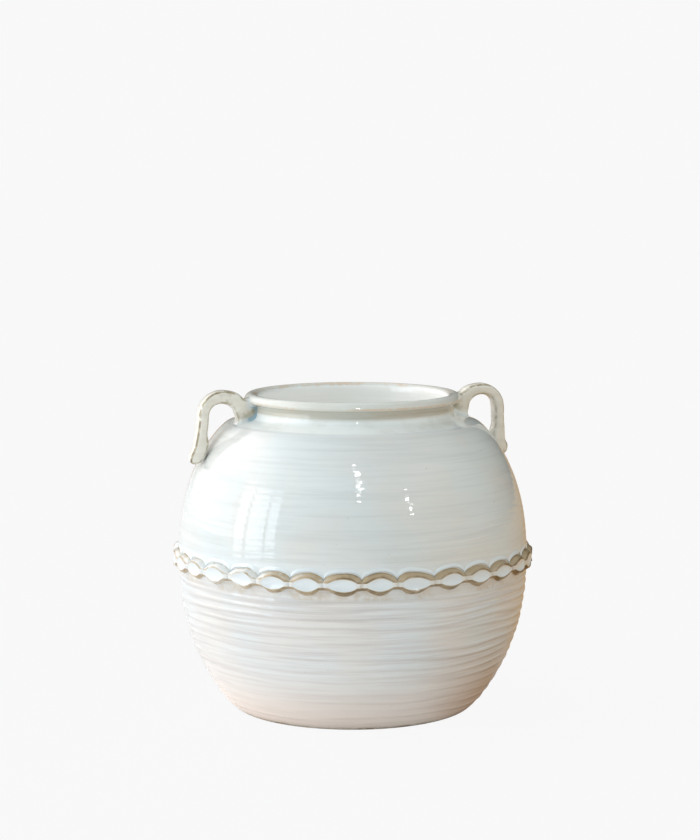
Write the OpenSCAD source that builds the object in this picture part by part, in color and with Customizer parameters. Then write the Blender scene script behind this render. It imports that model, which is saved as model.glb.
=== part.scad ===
// Handled vase: a thrown stoneware jar of two halves joined at the waist, with a luted neck ring,
// a pinched strip of clay pressed over the joint and two small strap handles on the shoulder.
// The origin is the centre of the base, on the axis. +Z is up and the handles stand on the X axis.

/* [Lower half] */
// Radius of the flat base that the jar stands on
foot_r = 75; // [60:0.5:90]
// Outer radius at the waist joint
waist_r = 111.2; // [100:0.2:125]
// Height of the waist joint
seam_h = 97.5; // [80:0.5:115]
// Thickness of the thrown wall
wall_t = 6; // [5:0.25:8]
// Thickness of the floor
floor_t = 8; // [6:0.5:12]

/* [Upper half] */
// Drop from the rim to the turn of the shoulder into the ledge round the neck
neck_rise = 18.5; // [16:0.5:24]
// Width of the ledge, from the neck's outside to the shoulder's turn
ledge_w = 15.2; // [13:0.1:20]

/* [Waist joint] */
// Width of the V groove in the lower half's rim, and of the tongue in it
groove_w = 3.2; // [2:0.2:3.4]
// Depth of the V groove
groove_d = 2.4; // [1.5:0.1:4]

/* [Neck and lip] */
// Inner radius of the throat
throat_r = 60; // [52:0.5:70]
// Thickness of the neck's wall under the lip
neck_t = 4.5; // [4:0.25:6]
// Height of the rolled lip's section
lip_t = 8; // [6.5:0.25:9.5]
// Width of the flat between the lip's two round sides
lip_flat = 1; // [0.5:0.1:3]
// Height of the rim
rim_h = 201; // [175:0.5:235]
// Thickness of the neck ring's spigot, inside the shoulder's opening
spigot_t = 6; // [5:0.25:8]
// Width of the shoulder left round the neck ring's seat
seat_margin = 2.7; // [1.5:0.1:4]
// Depth of the seat below the shoulder's turn
seat_d = 2.5; // [1.5:0.1:3.5]
// Rise of the ledge towards the neck, in degrees
ledge_rise = 15.6; // [5:0.1:20]
// Radius of the hollow between the ledge and the neck
neck_hollow_r = 5; // [3:0.25:6]

/* [Pinched band] */
// How far the band stands proud of the waist
band_proud = 3.8; // [2.8:0.1:5.5]
// Height of the band's middle above the waist joint
band_lift = 0.6; // [0:0.1:2]
// Number of pinched links
link_count = 32; // [28:1:36]
// Turn of the links round the axis, in degrees
band_turn = 4.1; // [0:0.1:11]
// Height of a link's outer face
face_h = 8.6; // [7:0.2:11]
// Width of the bare ridge between two faces
pinch_w = 1.5; // [1:0.1:3]
// Height of the pinched ridge
ridge_h = 5; // [4:0.2:6]
// Depth of the thumb dish in a link's face
dish_d = 1.1; // [0.6:0.1:1.4]
// Rim left round the dish
dish_rim = 0.3; // [0.1:0.1:1]
// Slope of the band's flanks: how much higher they get for each unit nearer the wall
flank_slope = 1.28; // [0.8:0.02:1.6]

/* [Handles] */
// Width of the handle's strap
strap_w = 12.5; // [9:0.25:16]
// Thickness of the strap
strap_t = 6.5; // [5:0.25:8]
// Radius of the strap's rounded edges
strap_edge_r = 2.4; // [1:0.1:2.45]
// Radius of the eye's round top
eye_r = 8.9; // [7:0.1:11]
// Gap between the lip and the handle
lip_gap = 1.1; // [0.5:0.1:3]
// Height of the handles above the rim
handle_rise = 3.6; // [1:0.1:8]
// Height of the handle's root on the neck
root_h = 8; // [6:0.25:8.5]
// Drop from the shoulder's turn to the middle of the pressed tip
tip_drop = 20; // [16:0.5:26]
// Drop from the shoulder's turn to the bend of the outer leg
bend_drop = 9.5; // [6:0.5:12]
// Radius of the rounded tip
tip_r = 3.6; // [3.3:0.1:4.5]
// Width of the rounded tip
tip_w = 9; // [8:0.25:12]
// Lift of the tip's middle off the strap's own seat on the wall
tip_lift = 0.4; // [0:0.1:1]

/* [Hidden] */
$fn = 96;
// The band is thin for its girth, so its curves are drawn finer.
fine_fn = 256;
// One overrun serves every cut and every end that is trimmed by the wall.
overrun = 2;
// Number of steps along each formula curve.
curve_steps = 20;
hollow_steps = 6;
// The bulge of each half: powers of a squared-off ellipse.
low_flat_share = 2.23;
low_full_share = 0.845;
up_flat_share = 2.25;
up_full_share = 0.8;
glaze_white = [0.93, 0.92, 0.89];
glaze_cool = [0.90, 0.92, 0.91];
glaze_thin = [0.72, 0.62, 0.50];

neck_r = throat_r + neck_t;
lip_r = throat_r + lip_t + lip_flat;
spigot_r = throat_r + spigot_t;
shoulder_r = neck_r + ledge_w;
collar_r = shoulder_r - seat_margin;
shoulder_h = rim_h - neck_rise;
groove_mid = waist_r - wall_t / 2;
band_r = waist_r + band_proud;
band_h = seam_h + band_lift;
seat_h = shoulder_h - seat_d;
leg_in = lip_r + lip_gap;
arch_x = leg_in + strap_t + eye_r;
arch_z = rim_h + handle_rise - strap_t - eye_r;
outer_leg_x = arch_x + eye_r + strap_t / 2;
inner_leg_x = arch_x - eye_r - strap_t / 2;
tip_h = shoulder_h - tip_drop;
bend_h = shoulder_h - bend_drop;
tip_x = upper_out(tip_h) + strap_t / 2 + tip_lift;
lip_mid_h = rim_h - lip_t / 2;
hollow_x = neck_r + neck_hollow_r;
hollow_foot_x = hollow_x - neck_hollow_r * sin(ledge_rise);
hollow_z = ledge_z(hollow_foot_x) + neck_hollow_r * cos(ledge_rise);

// Outer radius of the lower half at height z
function lower_out(z) =
    foot_r + (waist_r - foot_r) * pow(1 - pow(1 - z / seam_h, low_flat_share), low_full_share);

// Outer radius of the upper half at height z
function upper_out(z) =
    let (rise = (z - seam_h) / (shoulder_h - seam_h))
    shoulder_r + (waist_r - shoulder_r) * pow(1 - pow(rise, up_flat_share), up_full_share);

// Height of the ledge at radius r
function ledge_z(r) = shoulder_h + (shoulder_r - r) * tan(ledge_rise);

// Heights are spaced like the points of a circle, so they crowd where the wall turns over.
function lower_curve() =
    [for (i = [0 : curve_steps])
        let (z = seam_h * (1 - cos(90 * i / curve_steps)))
        [lower_out(z), z]];

function upper_curve() =
    [for (i = [0 : curve_steps])
        let (z = seam_h + (shoulder_h - seam_h) * sin(90 * i / curve_steps))
        [upper_out(z), z]];

// Outward normal of a curve that climbs, at point i
function normal(curve, i) =
    let (a = curve[max(i - 1, 0)], b = curve[min(i + 1, len(curve) - 1)], d = b - a)
    [d.y, -d.x] / norm(d);

// The hollow that joins the ledge to the neck
function hollow_curve() =
    [for (i = [0 : hollow_steps])
        let (a = 270 - ledge_rise - (90 - ledge_rise) * i / hollow_steps)
        [hollow_x + neck_hollow_r * cos(a), hollow_z + neck_hollow_r * sin(a)]];

// Inner side of each half, from the top down. The floor is thicker than the wall.
function lower_inside() =
    let (curve = lower_curve())
    [for (i = [curve_steps : -1 : 1])
        let (n = normal(curve, i))
        [curve[i].x - wall_t * (i == curve_steps ? 1 : n.x),
         max(curve[i].y - floor_t * (i == curve_steps ? 0 : n.y), floor_t)]];

function upper_inside() =
    let (curve = upper_curve())
    [for (i = [curve_steps - 1 : -1 : 0])
        let (n = normal(curve, i))
        [curve[i].x - wall_t * (i == 0 ? 1 : n.x),
         min(curve[i].y - wall_t * (i == 0 ? 0 : n.y), shoulder_h - wall_t)]];

module lower_section() {
    polygon(concat(
        [[0, 0]],
        lower_curve(),
        [[groove_mid + groove_w / 2, seam_h],
         [groove_mid, seam_h - groove_d],
         [groove_mid - groove_w / 2, seam_h]],
        lower_inside(),
        [[0, floor_t]]));
}

module upper_section() {
    polygon(concat(
        [[groove_mid - groove_w / 2, seam_h],
         [groove_mid, seam_h - groove_d],
         [groove_mid + groove_w / 2, seam_h]],
        upper_curve(),
        [[collar_r, ledge_z(collar_r)],
         [collar_r, seat_h],
         [spigot_r, seat_h],
         [spigot_r, shoulder_h - wall_t]],
        upper_inside()));
}

// The rolled lip is two round sides with a flat between them.
module lip_section() {
    translate([lip_r - lip_t / 2, lip_mid_h])
        circle(d = lip_t);
    translate([throat_r + lip_t / 2, lip_mid_h])
        circle(d = lip_t);
    translate([throat_r + lip_t / 2, lip_mid_h - lip_t / 2])
        square([lip_r - throat_r - lip_t, lip_t]);
}

module collar_section() {
    polygon(concat(
        [[throat_r, shoulder_h - wall_t],
         [spigot_r, shoulder_h - wall_t],
         [spigot_r, seat_h],
         [collar_r, seat_h],
         [collar_r, ledge_z(collar_r)]],
        hollow_curve(),
        [[neck_r, lip_mid_h],
         [throat_r, lip_mid_h]]));
    lip_section();
}

// Everything inside the jar's outer skin, which trims the pieces pressed onto it
module skin_section() {
    polygon(concat(
        [[0, 0]],
        lower_curve(),
        [for (i = [1 : curve_steps]) upper_curve()[i]],
        hollow_curve(),
        [[neck_r, lip_mid_h],
         [0, lip_mid_h]]));
    lip_section();
}

module skin() {
    rotate_extrude()
        skin_section();
}

module lower_body() {
    color(glaze_white)
        rotate_extrude()
            lower_section();
}

module upper_body() {
    color(glaze_cool)
        rotate_extrude()
            upper_section();
}

module neck_collar() {
    color(glaze_white)
        rotate_extrude()
            collar_section();
}

// One link is the lens between two cones that point at the axis.
link_half_w = PI * band_r / link_count - pinch_w / 2;
link_half_h = face_h / 2;
lens_r = (pow(link_half_w, 2) + pow(link_half_h, 2)) / face_h;
lens_shift = lens_r - link_half_h;
// The cones start inside the wall and end past the band's outer face.
link_start = band_r - 2 * wall_t;
link_end = band_r + overrun;
link_turn = 360 / link_count;

module lens_cone(side) {
    translate([link_start, 0, band_h + side * lens_shift])
        rotate([0, 90, 0])
            cylinder(
                h = link_end - link_start,
                r1 = lens_r + (band_r - link_start) * flank_slope,
                r2 = lens_r + (band_r - link_end) * flank_slope);
}

// The slice of the round that one link takes. The rest of its turn is the pinch.
module slice() {
    half_turn = link_turn / 2 - atan(pinch_w / 2 / band_r);
    translate([0, 0, band_h - band_r / 2])
        linear_extrude(band_r)
            polygon([
                [0, 0],
                [link_end, -link_end * tan(half_turn)],
                [link_end, link_end * tan(half_turn)]]);
}

// The pinched ridge runs right round. Its flanks meet the wall as the links' do.
module ridge() {
    flank_h = (band_r - link_start) * flank_slope;
    rotate_extrude()
        polygon([
            [link_start, band_h - ridge_h / 2 - flank_h],
            [band_r, band_h - ridge_h / 2],
            [band_r, band_h + ridge_h / 2],
            [link_start, band_h + ridge_h / 2 + flank_h]]);
}

// The thumb dish is cut by the outside of a ring that lies level.
dish_half_w = link_half_w - dish_rim - pinch_w;
dish_half_h = link_half_h - dish_rim;
dish_tube_r = (pow(dish_half_h, 2) + pow(dish_d, 2)) / (2 * dish_d);
dish_ring_r = 1 / (2 * dish_d / pow(dish_half_w, 2) - 1 / band_r);
dish_turn = 2 * asin(dish_half_w / dish_ring_r);

module dish() {
    translate([band_r + dish_ring_r - dish_d, 0, band_h])
        rotate([0, 0, 180 - dish_turn])
            rotate_extrude(angle = 2 * dish_turn)
                translate([dish_ring_r - dish_tube_r, 0])
                    circle(r = dish_tube_r);
}

module link() {
    difference() {
        intersection() {
            union() {
                ridge();
                intersection() {
                    lens_cone(1);
                    lens_cone(-1);
                    cylinder(r = band_r, h = 2 * band_h);
                }
            }
            slice();
        }
        skin();
        dish();
    }
}

module round_the_links() {
    for (i = [0 : link_count - 1])
        rotate([0, 0, band_turn + link_turn * i])
            children();
}

module pinched_band() {
    $fn = fine_fn;
    color(glaze_thin) {
        difference() {
            ridge();
            skin();
            round_the_links()
                slice();
        }
        round_the_links()
            link();
    }
}

// Section of the strap: thickness along x, width along y, both edges rounded
module strap_section(thick, wide) {
    flat_t = thick - 2 * strap_edge_r;
    flat_w = wide - 2 * strap_edge_r;
    square([thick, flat_w], center = true);
    square([flat_t, wide], center = true);
    for (x = [-flat_t / 2, flat_t / 2], y = [-flat_w / 2, flat_w / 2])
        translate([x, y])
            circle(r = strap_edge_r);
}

// A straight stretch of strap from one point of the XZ plane to another
module strap_run(from, to) {
    d = to - from;
    translate([from.x, 0, from.y])
        rotate([0, 90 - atan2(d.y, d.x), 0])
            linear_extrude(norm(d))
                strap_section(strap_t, strap_w);
}

module arch() {
    translate([arch_x, 0, arch_z])
        rotate([90, 0, 0])
            rotate_extrude(angle = 180)
                translate([eye_r + strap_t / 2, 0])
                    strap_section(strap_t, strap_w);
}

// The root is pressed against the neck under the lip.
module root() {
    root_x = neck_r - wall_t / 2;
    translate([root_x, 0, ledge_z(neck_r) + root_h / 2 - overrun])
        rotate([0, 90, 0])
            linear_extrude(inner_leg_x - root_x)
                strap_section(root_h, strap_w);
}

module tip() {
    translate([tip_x, 0, tip_h])
        rotate([90, 0, 0])
            cylinder(r = tip_r, h = tip_w, center = true);
}

module handle() {
    color(glaze_thin)
        difference() {
            union() {
                arch();
                strap_run([inner_leg_x, arch_z], [inner_leg_x, shoulder_h - wall_t / 2]);
                root();
                strap_run([outer_leg_x, arch_z], [outer_leg_x, bend_h]);
                strap_run([outer_leg_x, bend_h], [tip_x, tip_h]);
                tip();
            }
            skin();
        }
}

module right_handle() {
    handle();
}

module left_handle() {
    rotate([0, 0, 180])
        handle();
}

lower_body();
upper_body();
neck_collar();
pinched_band();
left_handle();
right_handle();
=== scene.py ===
# %% [markdown]
# # A white-glazed jar with a pinched band
# The jar is stoneware, thrown on a wheel in two halves. A strip of clay was pressed over the line
# where the halves meet and pinched into links, and two small straps became handles. Then all of it
# was dipped in one white glaze. The glaze makes the look: it lies thick and bluish in hollows, and
# it runs thin over edges, where the brown clay shows through as a fine line.
#
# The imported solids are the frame. They say where each piece is and how large. Every piece below
# takes its sizes from them, replaces one of them, and adds what the solids leave out.

# %% Load the frame
import math
import bpy
import numpy as np
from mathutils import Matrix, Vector


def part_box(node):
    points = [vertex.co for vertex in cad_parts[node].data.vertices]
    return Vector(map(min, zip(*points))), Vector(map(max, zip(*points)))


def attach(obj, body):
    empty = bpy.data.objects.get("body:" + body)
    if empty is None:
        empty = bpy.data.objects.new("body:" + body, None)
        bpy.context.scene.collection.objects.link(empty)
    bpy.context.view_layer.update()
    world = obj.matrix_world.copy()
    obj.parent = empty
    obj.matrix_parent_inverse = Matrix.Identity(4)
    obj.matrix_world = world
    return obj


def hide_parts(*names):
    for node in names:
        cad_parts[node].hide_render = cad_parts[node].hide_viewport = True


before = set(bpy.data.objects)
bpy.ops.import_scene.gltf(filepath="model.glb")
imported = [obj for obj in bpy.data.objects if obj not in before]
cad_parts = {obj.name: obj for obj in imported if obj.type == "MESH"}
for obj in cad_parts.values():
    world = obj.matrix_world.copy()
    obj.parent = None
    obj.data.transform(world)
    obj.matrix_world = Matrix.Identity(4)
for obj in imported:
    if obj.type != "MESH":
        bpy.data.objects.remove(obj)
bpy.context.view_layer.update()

# %% [markdown]
# ## Sizes from the solids
# A turned solid is known by the radius and height of its points, so those are read from each node.
# A potter would take the same sizes with callipers. They are kept in millimetres, because that is
# how a potter thinks of them, and are turned into metres when a mesh is made.

# %% Callipers
MM = 0.001


def points_of(mesh):
    """All points of a mesh in metres, one row of x, y and z each."""
    points = np.empty(len(mesh.vertices) * 3)
    mesh.vertices.foreach_get("co", points)
    return points.reshape(-1, 3)


def turned(node):
    """Radius and height of every point of a solid, in mm."""
    x, y, z = points_of(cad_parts[node].data).T / MM
    return np.hypot(x, y), z


# %% Measure the two halves
low_r, low_z = turned("lower_body")
foot_r = low_r[low_z < 0.01].max()
waist_r = low_r.max()
seam_h = low_z.max()
floor_t = low_z[(low_r < foot_r) & (low_z > 0.01)].min()
up_r, up_z = turned("upper_body")
tongue_h = up_z.min()
print(f"foot {foot_r:.1f}, floor {floor_t:.1f}, waist {waist_r:.1f} at {seam_h:.1f}")

# %% Measure the neck ring
ring_r, ring_z = turned("neck_collar")
throat_r, collar_r = ring_r.min(), ring_r.max()
spigot_h, rim_h = ring_z.min(), ring_z.max()
lip_r = ring_r[ring_z > rim_h - 7].max()
spigot_r = ring_r[ring_z < spigot_h + 0.01].max()
seat_h = ring_z[ring_r > collar_r - 0.1].min()
collar_z = ring_z[ring_r > collar_r - 0.1].max()
on_neck = (ring_z > seat_h + 6) & (ring_z < rim_h - 8.1) & (ring_r > throat_r + 1)
neck_r = ring_r[on_neck].min()
print(f"throat {throat_r:.1f}, neck {neck_r:.1f}, lip {lip_r:.1f}, rim {rim_h:.1f}")
print(f"collar {collar_r:.1f} at {collar_z:.2f}, seat {seat_h:.1f}, spigot {spigot_r:.1f}")

# %% Measure the shoulder and the band
off_collar = (np.abs(up_r - collar_r) > 2) & (up_z > seat_h + 0.5)
shoulder_h = up_z[off_collar].max()
shoulder_r = up_r[np.abs(up_z - shoulder_h) < 0.01].max()
band_points_r, band_points_z = turned("pinched_band")
band_r = band_points_r.max()
band_h = (band_points_z.max() + band_points_z.min()) / 2
print(f"shoulder {shoulder_r:.1f} at {shoulder_h:.1f}, band {band_r:.1f} at {band_h:.1f}")

# %% [markdown]
# ## Helpers for nodes, colours and objects
# Shaders and Geometry Nodes are both trees of nodes. One function adds a node, sets its options and
# fills its inputs, each with a value or with a link from another node. A second one turns a colour
# that was picked on a screen into the linear numbers that a renderer works with. A third one puts
# a mesh, a light or a camera into the scene.
#
# Two nodes need numbers instead of names. A Mix of colours has its share in input 0 and its colours
# in 6 and 7, and gives the result in output 2. The inputs of a Math node all have the same name, so
# they are numbered too. Arithmetic is needed so often that its own name in capitals, such as
# MULTIPLY, stands for a Math node that does it.

# %% Node, colour and object helpers
def add(tree, kind, inputs=None, **options):
    """Adds a node. An input takes a value, an output, or a node, whose first output is meant."""
    if kind.isupper():
        kind, options = "ShaderNodeMath", {"operation": kind}
    node = tree.nodes.new(kind)
    for name, value in options.items():
        setattr(node, name, value)
    for name, value in (inputs or {}).items():
        if isinstance(value, bpy.types.Node):
            value = value.outputs[0]
        if isinstance(value, bpy.types.NodeSocket):
            tree.links.new(value, node.inputs[name])
        else:
            node.inputs[name].default_value = value
    return node


def linear(hex_colour):
    """Linear colour from an sRGB hex value."""
    srgb = [int(hex_colour[i:i + 2], 16) / 255 for i in (1, 3, 5)]
    return [c / 12.92 if c <= 0.04045 else ((c + 0.055) / 1.055) ** 2.4 for c in srgb] + [1.0]


def put(name, data):
    """Puts a mesh, a light or a camera into the scene as an object."""
    thing = bpy.data.objects.new(name, data)
    bpy.context.scene.collection.objects.link(thing)
    return thing


print("white glaze as linear colour", [round(c, 3) for c in linear("#dcdedb")])

# %% [markdown]
# ## The glaze
# It is a tin-white stoneware glaze, dipped and fired to gloss. Its face is glass, so its IOR is
# about 1.55 and it is nearly smooth: a window shows in it with clear edges. Its colour follows its
# thickness: where it pools it is bluish white, over the wall it is off-white, and over an edge it
# thins to the tan of the clay.
#
# The thickness could be painted in a picture, but a picture would have to be wrapped round each
# piece. Here each mesh carries marks instead, which are worked out from its shape: `thin`, `pool`,
# `bare` and, on the throwing rings, `crest`. Noise breaks them up, so that no line is even. One
# function builds the glaze for five finishes, which differ in how much clay shows; the neck's is
# also a darker grey, as painted shade under the lip. It is made in four steps: the patterns, then
# how much of each coat they let through, the colours, the surface.

# %% Patterns of the glaze
def glaze_patterns(tree, place, streak_mm, seed):
    """Noises and dots of real sizes, from which comes all that is uneven in the glaze."""
    # Streaks run round the pot, because the wheel turned under the hand and the glaze lies in
    # them. So their noise is drawn out along x and y.
    drawn_out = add(tree, "ShaderNodeVectorMath", {0: place, 1: (0.03, 0.03, 1.0)},
                    operation="MULTIPLY")
    # Every pattern is noise with a grain of a real size in mm. The clouds of a dipped glaze are a
    # few centimetres wide. Patches of 4 mm are where it happened to lie thicker.
    patterns = {}
    for pattern, vector, grain_mm, detail, roughness in (
            ("streaks", drawn_out, streak_mm, 3.0, 0.6), ("clouds", place, 45, 2.0, 0.5),
            ("blotches", place, 9, 2.0, 0.5), ("patches", place, 4, 3.0, 0.5),
            ("stretches", place, 28, 1.0, 0.5), ("clay", place, 3, 4.0, 0.5),
            ("gloss", place, 14, 2.0, 0.5), ("pits", place, 3.5, 2.0, 0.5)):
        patterns[pattern] = add(tree, "ShaderNodeTexNoise", {
            "Vector": vector, "W": seed, "Scale": 1 / (grain_mm * MM), "Detail": detail,
            "Roughness": roughness}, noise_dimensions="4D")
    # Iron specks in the clay bleed through as dots of about half a millimetre, 7 mm apart.
    patterns["dots"] = add(tree, "ShaderNodeTexVoronoi", {
        "Vector": place, "Scale": 1 / (7 * MM), "W": seed}, voronoi_dimensions="4D")
    return patterns


# %% Where the glaze is thick, thin or broken
def glaze_shares(tree, place, marks, noise, streaky, specks, broken, faded, paler_left, warm_foot):
    """How much of each coat shows, from 0 to 1, under its use. "line" is the line on an edge."""
    x, _, z = add(tree, "ShaderNodeSeparateXYZ", {0: place}).outputs
    # Soft steps turn patterns and marks into shares. A row says what goes in, where the step
    # starts and ends, and the share before and after it.
    share = {}
    for use, value, start, end, before, after in (
            ("warmer", noise["clouds"], 0.35, 0.65, 0.0, 1.0),
            ("streaked", noise["streaks"], 0.42, 0.68, 0.0, streaky),
            ("on a ridge", marks["crest"], 0.25, 1.1, 0.0, 0.26),
            ("foot wanders", noise["clouds"], 0.3, 0.7, 0.0, 12 * MM),
            ("blotched", noise["blotches"], 0.25, 0.6, 0.75, 1.0),
            ("inside", marks["pool"], 1.1, 1.9, 0.0, 1.0),
            ("unbroken", noise["patches"], 0.3, 0.62, 1 - broken, 1.0),
            ("unfaded", noise["stretches"], 0.38, 0.6, faded, 1.0),
            ("far left", x, -30 * MM, -105 * MM, 0.0, paler_left),
            ("speck", noise["dots"], 0.12, 0.05, 0.0, specks),
            ("darker clay", noise["clay"], 0.35, 0.7, 0.0, 1.0)):
        share[use] = add(tree, "ShaderNodeMapRange", {
            "Value": value, "From Min": start, "From Max": end, "To Min": before,
            "To Max": after}, interpolation_type="SMOOTHSTEP")

    # The line along an edge fades in stretches and breaks in patches, and it is paler towards the
    # jar's -X side.
    line = marks["thin"]
    for kind, other in (("MULTIPLY", share["unfaded"]), ("MULTIPLY", share["unbroken"]),
                        ("SUBTRACT", share["far left"]), ("MAXIMUM", 0.0)):
        line = add(tree, kind, {0: line, 1: other})
    above_foot = add(tree, "ADD", {0: z, 1: share["foot wanders"]})
    for use, value, start, end, after in (
            ("near the foot", above_foot, 55 * MM, 4 * MM, warm_foot),
            ("beside a line", line, 0.05, 0.45, 1.0), ("on a line", line, 0.45, 0.95, 1.0)):
        share[use] = add(tree, "ShaderNodeMapRange", {
            "Value": value, "From Min": start, "From Max": end, "To Min": 0.0,
            "To Max": after}, interpolation_type="SMOOTHSTEP")
    pool_to_one = add(tree, "MINIMUM", {0: marks["pool"], 1: 1.0})
    share["pooled"] = add(tree, "MULTIPLY", {0: pool_to_one, 1: share["blotched"]})
    share["line"] = line
    return share


# %% Colours of the glaze
def glaze_colour(tree, share, bare, wall, thin_line, thick, deep):
    """The colours of all the coats, each laid over the ones before it, and of the bare clay."""
    colour = linear(wall[0])
    for use, over in (
            ("warmer", wall[1]), ("streaked", wall[2]),
            # On the narrow ridges between the finger tracks the glaze is thinner and greyer.
            ("on a ridge", "#b6aca4"),
            # Towards the foot the wall turns pinkish beige and a little darker.
            ("near the foot", "#e8d5c7"), ("pooled", thick),
            # The inside was filled and poured out, so its coat is thick and white: pool is 2.
            ("inside", deep), ("beside a line", thin_line[0]), ("on a line", thin_line[1]),
            ("speck", "#7d6a55")):
        colour = add(tree, "ShaderNodeMix", {0: share[use], 6: colour, 7: linear(over)},
                     data_type="RGBA").outputs[2]
    clay = add(tree, "ShaderNodeMix", {
        0: share["darker clay"], 6: linear("#b99a7c"), 7: linear("#a08064")},
        data_type="RGBA").outputs[2]
    return add(tree, "ShaderNodeMix", {0: bare, 6: colour, 7: clay}, data_type="RGBA").outputs[2]


# %% Glaze material
def dipped_glaze(name, wall, thin_line, *, seed, specks, streaky=0.35, streak_mm=1.6,
                 thick="#e8eef0", deep="#f5f5f1", broken=0.6, faded=0.45, paler_left=0.0,
                 warm_foot=0.0):
    """A white stoneware glaze over tan clay, from the marks thin, pool, bare and crest."""
    material = bpy.data.materials.new(name)
    material.use_nodes = True
    tree = material.node_tree
    tree.nodes.clear()
    place = add(tree, "ShaderNodeTexCoord").outputs["Object"]
    marks = {mark: add(tree, "ShaderNodeAttribute", attribute_name=mark).outputs["Fac"]
             for mark in ("thin", "pool", "bare", "crest")}
    noise = glaze_patterns(tree, place, streak_mm, seed)
    share = glaze_shares(tree, place, marks, noise, streaky, specks, broken, faded, paler_left,
                         warm_foot)
    colour = glaze_colour(tree, share, marks["bare"], wall, thin_line, thick, deep)
    # The glass face is smooth, a little duller where the glaze is thin, and matt on bare clay.
    rough = 0.012
    for value, duller in ((noise["gloss"], 0.035), (share["line"], 0.12), (marks["bare"], 0.6)):
        rough = add(tree, "MULTIPLY_ADD", {0: value, 1: duller, 2: rough})
    # Fine pits and streaks, too small to model, are a bump of a few hundredths of a millimetre.
    height = 0.0
    for pattern, amount in (("pits", 0.4), ("streaks", 0.6)):
        height = add(tree, "MULTIPLY_ADD", {0: noise[pattern], 1: amount, 2: height})
    bump = add(tree, "ShaderNodeBump", {
        "Height": height, "Distance": 0.12 * MM, "Strength": 0.3})
    shader = add(tree, "ShaderNodeBsdfPrincipled", {
        "Base Color": colour, "Roughness": rough, "Normal": bump, "IOR": 1.55})
    add(tree, "ShaderNodeOutputMaterial", {"Surface": shader})
    return material


# %% Five finishes of it
white_glaze = dipped_glaze(
    "tin_white_glaze_thrown", ("#dfe4e3", "#e2e1dc", "#cdd0cd"), ("#dccab8", "#9a7f62"),
    seed=1.0, specks=0.2, streaky=0.4, streak_mm=2.3)
ringed_glaze = dipped_glaze(
    "tin_white_glaze_on_rings", ("#e1e5e5", "#e6e2dd", "#cbc3bf"), ("#cfc2b0", "#9a7f62"),
    seed=1.0, specks=0.15, streaky=0.5, streak_mm=2.0, warm_foot=0.8)
# The neck's wall colours are a darker grey. This is painted shade for the undercut under the lip;
# the pool marks lighten it on the roll and in the hollow.
neck_glaze_shaded = dipped_glaze(
    "tin_white_glaze_on_neck_painted_shade", ("#cdcdc3", "#cec7b8", "#bbb5a6"), ("#ddc9b4", "#94795c"),
    seed=4.0, specks=0.2, thick="#f3f7f5", broken=0.75, faded=0.4)
band_glaze = dipped_glaze(
    "tin_white_glaze_pinched", ("#e2e5e4", "#e4e0d8", "#d6d3ca"), ("#b9a484", "#806b4a"),
    seed=2.0, specks=0.1, thick="#e5ebed", broken=0.25, faded=0.8, paler_left=0.42)
handle_glaze = dipped_glaze(
    "tin_white_glaze_on_straps", ("#f1ede3", "#eee8db", "#dbd3c3"), ("#b3a88e", "#776b50"),
    seed=3.0, specks=0.6, streak_mm=4.0, thick="#e2e8e8", deep="#a3bfcd", broken=0.85)
for finish in (white_glaze, ringed_glaze, neck_glaze_shaded, band_glaze, handle_glaze):
    print(f"{finish.name}: {len(finish.node_tree.nodes)} nodes")

# %% [markdown]
# ## The thrown wall, as a rule
# Each half is a shape of revolution: its outline is one line, and the wheel turns it. The outline
# of a half is a squared-off ellipse, steeper in the middle than a true one. Two shares per half set
# how square it is. They are the same as in the source of the solids.

# %% Outlines of the two halves
LOW_FLAT_SHARE, LOW_FULL_SHARE = 2.23, 0.845
UP_FLAT_SHARE, UP_FULL_SHARE = 2.25, 0.8
wall_t = waist_r - up_r[np.abs(up_z - seam_h) < 0.01].min()


def lower_out(z):
    """Outer radius of the lower half at height z."""
    full = (1 - (1 - z / seam_h) ** LOW_FLAT_SHARE) ** LOW_FULL_SHARE
    return foot_r + (waist_r - foot_r) * full


def upper_out(z):
    """Outer radius of the upper half at height z."""
    rise = (z - seam_h) / (shoulder_h - seam_h)
    full = np.maximum(1 - rise ** UP_FLAT_SHARE, 0) ** UP_FULL_SHARE
    return shoulder_r + (waist_r - shoulder_r) * full


quarter = np.linspace(0, math.pi / 2, 200)
low_heights = seam_h * (1 - np.cos(quarter))
up_heights = seam_h + (shoulder_h - seam_h) * np.sin(quarter)
low_line = np.column_stack([lower_out(low_heights), low_heights])
up_line = np.column_stack([upper_out(up_heights), up_heights])
ledge_slope = (collar_z - shoulder_h) / (shoulder_r - collar_r)
print(f"wall {wall_t:.1f} mm, ledge climbs {math.degrees(math.atan(ledge_slope)):.1f} degrees")

# %% [markdown]
# ## The outline of the neck ring
# The lip is a rolled edge. Its top is round, and its outer side ends in a soft arris with an
# undercut below, where the potter's nail ran. That arris is where the glaze breaks to a fine brown
# line. The hollow between neck and ledge is a quarter round, in which the glaze pools. A few chosen
# points and a smooth curve through them are enough for such a profile.

# %% Lines through points
def through(points, count=12):
    """A smooth curve through the points (Catmull-Rom), with count steps for each stretch."""
    p = np.asarray(points, float)
    p = np.vstack([2 * p[0] - p[1], p, 2 * p[-1] - p[-2]])
    t = np.linspace(0, 1, count, endpoint=False)[:, None]
    out = [0.5 * (2 * b + (c - a) * t + (2 * a - 5 * b + 4 * c - d) * t ** 2
                  + (3 * b - a - 3 * c + d) * t ** 3)
           for a, b, c, d in zip(p[:-3], p[1:-2], p[2:-1], p[3:])]
    return np.vstack(out + [p[-2][None, :]])


def evenly(points, step):
    """The same line with points about one step apart."""
    line = np.asarray(points, float)
    along = np.concatenate([[0], np.cumsum(np.hypot(*np.diff(line, axis=0).T))])
    at = np.linspace(0, along[-1], max(1, round(along[-1] / step)) + 1)
    return np.column_stack([np.interp(at, along, line[:, 0]), np.interp(at, along, line[:, 1])])


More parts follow.
